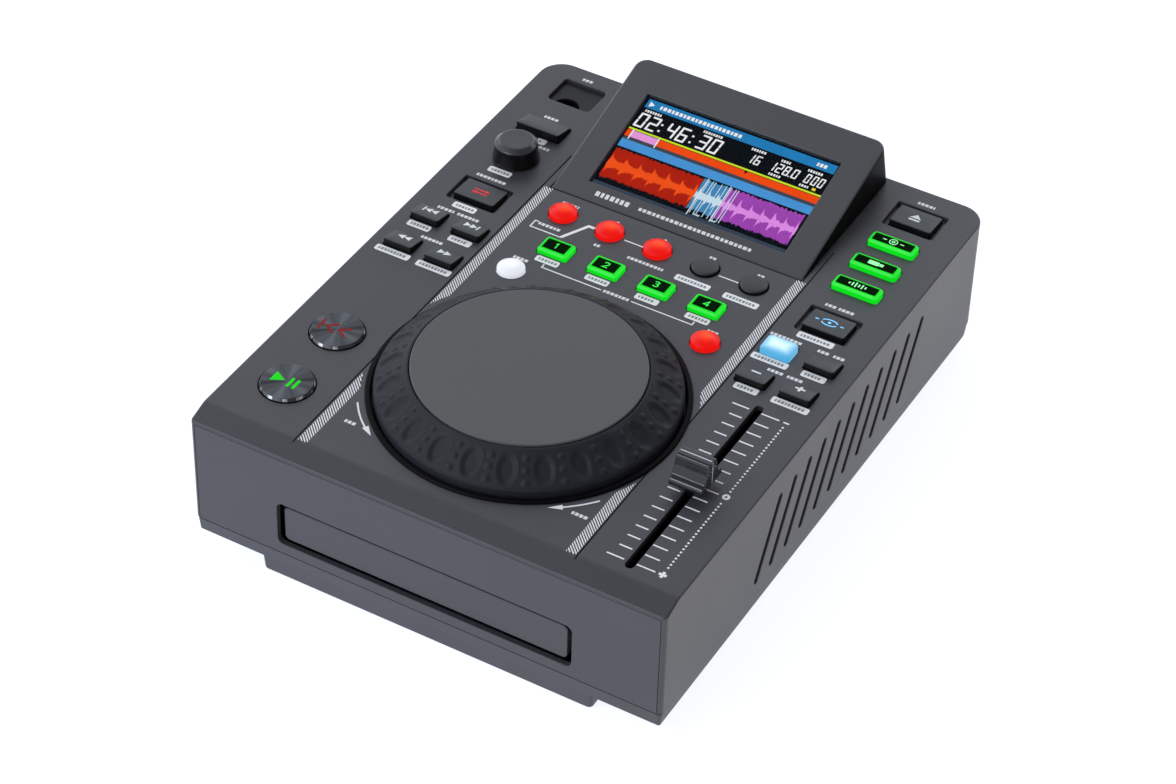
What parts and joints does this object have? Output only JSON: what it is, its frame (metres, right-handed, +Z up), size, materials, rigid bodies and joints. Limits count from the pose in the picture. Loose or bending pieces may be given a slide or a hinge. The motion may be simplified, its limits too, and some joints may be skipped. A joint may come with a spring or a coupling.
{
  "type": "dj cd player",
  "caption": "Tabletop DJ disc player with a large jog wheel, tilted display, long tempo fader, sprung lit keys and a motor-driven disc tray in its front.",
  "frame": {"origin": "on the supporting surface under the centre of the case's footprint", "axes": "+X to the player's right as it is used, +Y from the tray front towards the rear connectors, +Z up from the surface it stands on"},
  "size_m": [0.22, 0.29, 0.0938],
  "materials": {
    "case": "fine satin texture",
    "base": "fine satin texture",
    "bezel": "fine satin texture",
    "steel_plate": "powder coated black",
    "foot_rubber": "matt",
    "screw_steel": "zinc plated",
    "lens": "clear, gloss",
    "lcd": "display panel in a steel frame",
    "pcb": "green solder mask",
    "black_plastic": "satin black",
    "bush_metal": "sintered",
    "jog_rubber": "soft-touch rubber",
    "jog_top": "satin paint",
    "bright_steel": "turned",
    "rocker_red": "gloss",
    "fader_plastic": "semi-gloss with a white line",
    "zinc_steel": "zinc plated sheet",
    "knob_plastic": "soft satin",
    "white_acetal": "natural",
    "tray_plastic": "fine texture",
    "key_grey": "satin with printed symbol",
    "key_metal": "spun metal face",
    "key_green": "lit translucent cap, black face",
    "key_red": "lit translucent dome",
    "key_white": "lit translucent dome",
    "key_blue": "lit translucent cap"
  },
  "bodies": {
    "housing": {"top_case": "case", "bottom_case": "base", "rear_panel": "steel_plate", "feet": "foot_rubber", "case_screws": "screw_steel", "display_housing": "bezel", "display_lens": "lens", "lcd_module": "lcd", "main_board": "pcb", "panel_boards": "pcb", "jog_collar": "black_plastic", "jog_bearing": "bush_metal", "power_supply": "pcb", "power_inlet": "black_plastic", "fader_body": "zinc_steel", "drive_chassis": "zinc_steel"},
    "jog": {"jog_wheel": "jog_rubber", "jog_plate": "jog_top", "jog_hub": "bright_steel"},
    "rocker": {"power_rocker": "rocker_red"},
    "usb_lid": {"usb_cover": "black_plastic"},
    "fader": {"fader_cap": "fader_plastic"},
    "encoder_push": {"encoder_plunger": "white_acetal"},
    "encoder": {"encoder_knob": "knob_plastic"},
    "tray": {"disc_tray": "tray_plastic", "tray_bezel": "bezel"},
    "tray_drive": {"tray_gear": "white_acetal"},
    "traverse": {"traverse_frame": "zinc_steel"},
    "spindle": {"spindle_hub": "bright_steel"},
    "sled": {"pickup_sled": "black_plastic"},
    "screw": {"lead_screw": "bright_steel"},
    "clamp": {"clamp_puck": "black_plastic"},
    "play_key": {"play_button": "key_metal"},
    "cue_key": {"cue_button": "key_metal"},
    "prev_track_key": {"prev_track_button": "key_grey"},
    "next_track_key": {"next_track_button": "key_grey"},
    "search_back_key": {"search_back_button": "key_grey"},
    "search_forward_key": {"search_forward_button": "key_grey"},
    "direction_key": {"direction_button": "key_grey"},
    "back_key": {"back_button": "key_grey"},
    "auto_loop_key": {"auto_loop_button": "key_red"},
    "loop_in_key": {"loop_in_button": "key_red"},
    "loop_out_key": {"loop_out_button": "key_red"},
    "loop_half_key": {"loop_half_button": "key_grey"},
    "loop_double_key": {"loop_double_button": "key_grey"},
    "shift_key": {"shift_button": "key_white"},
    "slip_key": {"slip_button": "key_red"},
    "hot_cue_1_key": {"hot_cue_1_button": "key_green"},
    "hot_cue_2_key": {"hot_cue_2_button": "key_green"},
    "hot_cue_3_key": {"hot_cue_3_button": "key_green"},
    "hot_cue_4_key": {"hot_cue_4_button": "key_green"},
    "eject_key": {"eject_button": "key_grey"},
    "disc_source_key": {"disc_source_button": "key_green"},
    "usb_source_key": {"usb_source_button": "key_green"},
    "midi_source_key": {"midi_source_button": "key_green"},
    "jog_mode_key": {"jog_mode_button": "key_grey"},
    "key_lock_key": {"key_lock_button": "key_blue"},
    "tap_key": {"tap_button": "key_grey"},
    "bend_down_key": {"bend_down_button": "key_grey"},
    "bend_up_key": {"bend_up_button": "key_grey"}
  },
  "joints": [
    {"name": "jog_turn", "type": "hinge", "parent": "housing", "child": "jog", "pos_m": [0, -0.062, 0.08], "axis": [0, 0, 1], "continuous": true},
    {"name": "power_rock", "type": "hinge", "parent": "housing", "child": "rocker", "pos_m": [0.078, 0.131, 0.038], "axis": [1, 0, 0], "range_deg": [0, 14]},
    {"name": "usb_lid_open", "type": "hinge", "parent": "housing", "child": "usb_lid", "pos_m": [-0.0861, 0.1324, 0.0686], "axis": [-1, 0, 0], "range_deg": [0, 95]},
    {"name": "fader_slide", "type": "slide", "parent": "housing", "child": "fader", "axis": [0, 1, 0], "range_m": [-0.0487, 0.0512]},
    {"name": "encoder_press", "type": "slide", "parent": "housing", "child": "encoder_push", "axis": [0, 0, -1], "range_m": [0, 0.0005], "stiffness_N_per_m": 1500, "springref_m": -0.0006},
    {"name": "encoder_turn", "type": "hinge", "parent": "encoder_push", "child": "encoder", "pos_m": [-0.0855, 0.0709, 0.075], "axis": [0, 0, 1], "continuous": true},
    {"name": "tray_slide", "type": "slide", "parent": "housing", "child": "tray", "axis": [0, -1, 0], "range_m": [0, 0.132]},
    {"name": "tray_gear_turn", "type": "hinge", "parent": "housing", "child": "tray_drive", "pos_m": [-0.039, -0.128, 0.024], "axis": [0, 0, 1], "range_deg": [0, 946]},
    {"name": "traverse_lift", "type": "hinge", "parent": "housing", "child": "traverse", "pos_m": [0, 0.026, 0.012], "axis": [1, 0, 0], "range_deg": [0, 2.64]},
    {"name": "spindle_spin", "type": "hinge", "parent": "traverse", "child": "spindle", "pos_m": [0, -0.076, 0.02], "axis": [0, 0, 1], "continuous": true},
    {"name": "sled_travel", "type": "slide", "parent": "traverse", "child": "sled", "axis": [0, 1, 0], "range_m": [0, 0.033]},
    {"name": "lead_screw_turn", "type": "hinge", "parent": "traverse", "child": "screw", "pos_m": [-0.034, -0.023, 0.016], "axis": [0, 1, 0], "range_deg": [0, 3970]},
    {"name": "clamp_spin", "type": "hinge", "parent": "housing", "child": "clamp", "pos_m": [0, -0.076, 0.04], "axis": [0, 0, 1], "continuous": true},
    {"name": "play_press", "type": "slide", "parent": "housing", "child": "play_key", "axis": [0, 0, -1], "range_m": [0, 0.001], "stiffness_N_per_m": 420, "springref_m": -0.001},
    {"name": "cue_press", "type": "slide", "parent": "housing", "child": "cue_key", "axis": [0, 0, -1], "range_m": [0, 0.001], "stiffness_N_per_m": 420, "springref_m": -0.001},
    {"name": "prev_track_press", "type": "slide", "parent": "housing", "child": "prev_track_key", "axis": [0, 0, -1], "range_m": [0, 0.001], "stiffness_N_per_m": 320, "springref_m": -0.001},
    {"name": "next_track_press", "type": "slide", "parent": "housing", "child": "next_track_key", "axis": [0, 0, -1], "range_m": [0, 0.001], "stiffness_N_per_m": 320, "springref_m": -0.001},
    {"name": "search_back_press", "type": "slide", "parent": "housing", "child": "search_back_key", "axis": [0, 0, -1], "range_m": [0, 0.001], "stiffness_N_per_m": 320, "springref_m": -0.001},
    {"name": "search_forward_press", "type": "slide", "parent": "housing", "child": "search_forward_key", "axis": [0, 0, -1], "range_m": [0, 0.001], "stiffness_N_per_m": 320, "springref_m": -0.001},
    {"name": "direction_press", "type": "slide", "parent": "housing", "child": "direction_key", "axis": [0, 0, -1], "range_m": [0, 0.001], "stiffness_N_per_m": 320, "springref_m": -0.001},
    {"name": "back_press", "type": "slide", "parent": "housing", "child": "back_key", "axis": [0, 0, -1], "range_m": [0, 0.001], "stiffness_N_per_m": 320, "springref_m": -0.001},
    {"name": "auto_loop_press", "type": "slide", "parent": "housing", "child": "auto_loop_key", "axis": [0, 0, -1], "range_m": [0, 0.001], "stiffness_N_per_m": 320, "springref_m": -0.001},
    {"name": "loop_in_press", "type": "slide", "parent": "housing", "child": "loop_in_key", "axis": [0, 0, -1], "range_m": [0, 0.001], "stiffness_N_per_m": 320, "springref_m": -0.001},
    {"name": "loop_out_press", "type": "slide", "parent": "housing", "child": "loop_out_key", "axis": [0, 0, -1], "range_m": [0, 0.001], "stiffness_N_per_m": 320, "springref_m": -0.001},
    {"name": "loop_half_press", "type": "slide", "parent": "housing", "child": "loop_half_key", "axis": [0, 0, -1], "range_m": [0, 0.001], "stiffness_N_per_m": 320, "springref_m": -0.001},
    {"name": "loop_double_press", "type": "slide", "parent": "housing", "child": "loop_double_key", "axis": [0, 0, -1], "range_m": [0, 0.001], "stiffness_N_per_m": 320, "springref_m": -0.001},
    {"name": "shift_press", "type": "slide", "parent": "housing", "child": "shift_key", "axis": [0, 0, -1], "range_m": [0, 0.001], "stiffness_N_per_m": 320, "springref_m": -0.001},
    {"name": "slip_press", "type": "slide", "parent": "housing", "child": "slip_key", "axis": [0, 0, -1], "range_m": [0, 0.001], "stiffness_N_per_m": 320, "springref_m": -0.001},
    {"name": "hot_cue_1_press", "type": "slide", "parent": "housing", "child": "hot_cue_1_key", "axis": [0, 0, -1], "range_m": [0, 0.001], "stiffness_N_per_m": 320, "springref_m": -0.001},
    {"name": "hot_cue_2_press", "type": "slide", "parent": "housing", "child": "hot_cue_2_key", "axis": [0, 0, -1], "range_m": [0, 0.001], "stiffness_N_per_m": 320, "springref_m": -0.001},
    {"name": "hot_cue_3_press", "type": "slide", "parent": "housing", "child": "hot_cue_3_key", "axis": [0, 0, -1], "range_m": [0, 0.001], "stiffness_N_per_m": 320, "springref_m": -0.001},
    {"name": "hot_cue_4_press", "type": "slide", "parent": "housing", "child": "hot_cue_4_key", "axis": [0, 0, -1], "range_m": [0, 0.001], "stiffness_N_per_m": 320, "springref_m": -0.001},
    {"name": "eject_press", "type": "slide", "parent": "housing", "child": "eject_key", "axis": [0, 0, -1], "range_m": [0, 0.001], "stiffness_N_per_m": 320, "springref_m": -0.001},
    {"name": "disc_source_press", "type": "slide", "parent": "housing", "child": "disc_source_key", "axis": [0, 0, -1], "range_m": [0, 0.001], "stiffness_N_per_m": 320, "springref_m": -0.001},
    {"name": "usb_source_press", "type": "slide", "parent": "housing", "child": "usb_source_key", "axis": [0, 0, -1], "range_m": [0, 0.001], "stiffness_N_per_m": 320, "springref_m": -0.001},
    {"name": "midi_source_press", "type": "slide", "parent": "housing", "child": "midi_source_key", "axis": [0, 0, -1], "range_m": [0, 0.001], "stiffness_N_per_m": 320, "springref_m": -0.001},
    {"name": "jog_mode_press", "type": "slide", "parent": "housing", "child": "jog_mode_key", "axis": [0, 0, -1], "range_m": [0, 0.001], "stiffness_N_per_m": 320, "springref_m": -0.001},
    {"name": "key_lock_press", "type": "slide", "parent": "housing", "child": "key_lock_key", "axis": [0, 0, -1], "range_m": [0, 0.001], "stiffness_N_per_m": 320, "springref_m": -0.001},
    {"name": "tap_press", "type": "slide", "parent": "housing", "child": "tap_key", "axis": [0, 0, -1], "range_m": [0, 0.001], "stiffness_N_per_m": 320, "springref_m": -0.001},
    {"name": "bend_down_press", "type": "slide", "parent": "housing", "child": "bend_down_key", "axis": [0, 0, -1], "range_m": [0, 0.001], "stiffness_N_per_m": 320, "springref_m": -0.001},
    {"name": "bend_up_press", "type": "slide", "parent": "housing", "child": "bend_up_key", "axis": [0, 0, -1], "range_m": [0, 0.001], "stiffness_N_per_m": 320, "springref_m": -0.001}
  ],
  "couplings": [
    {"joint": "tray_gear_turn", "follows": "tray_slide", "rad_per_m": 125},
    {"joint": "lead_screw_turn", "follows": "sled_travel", "rad_per_m": 2094.4}
  ]
}
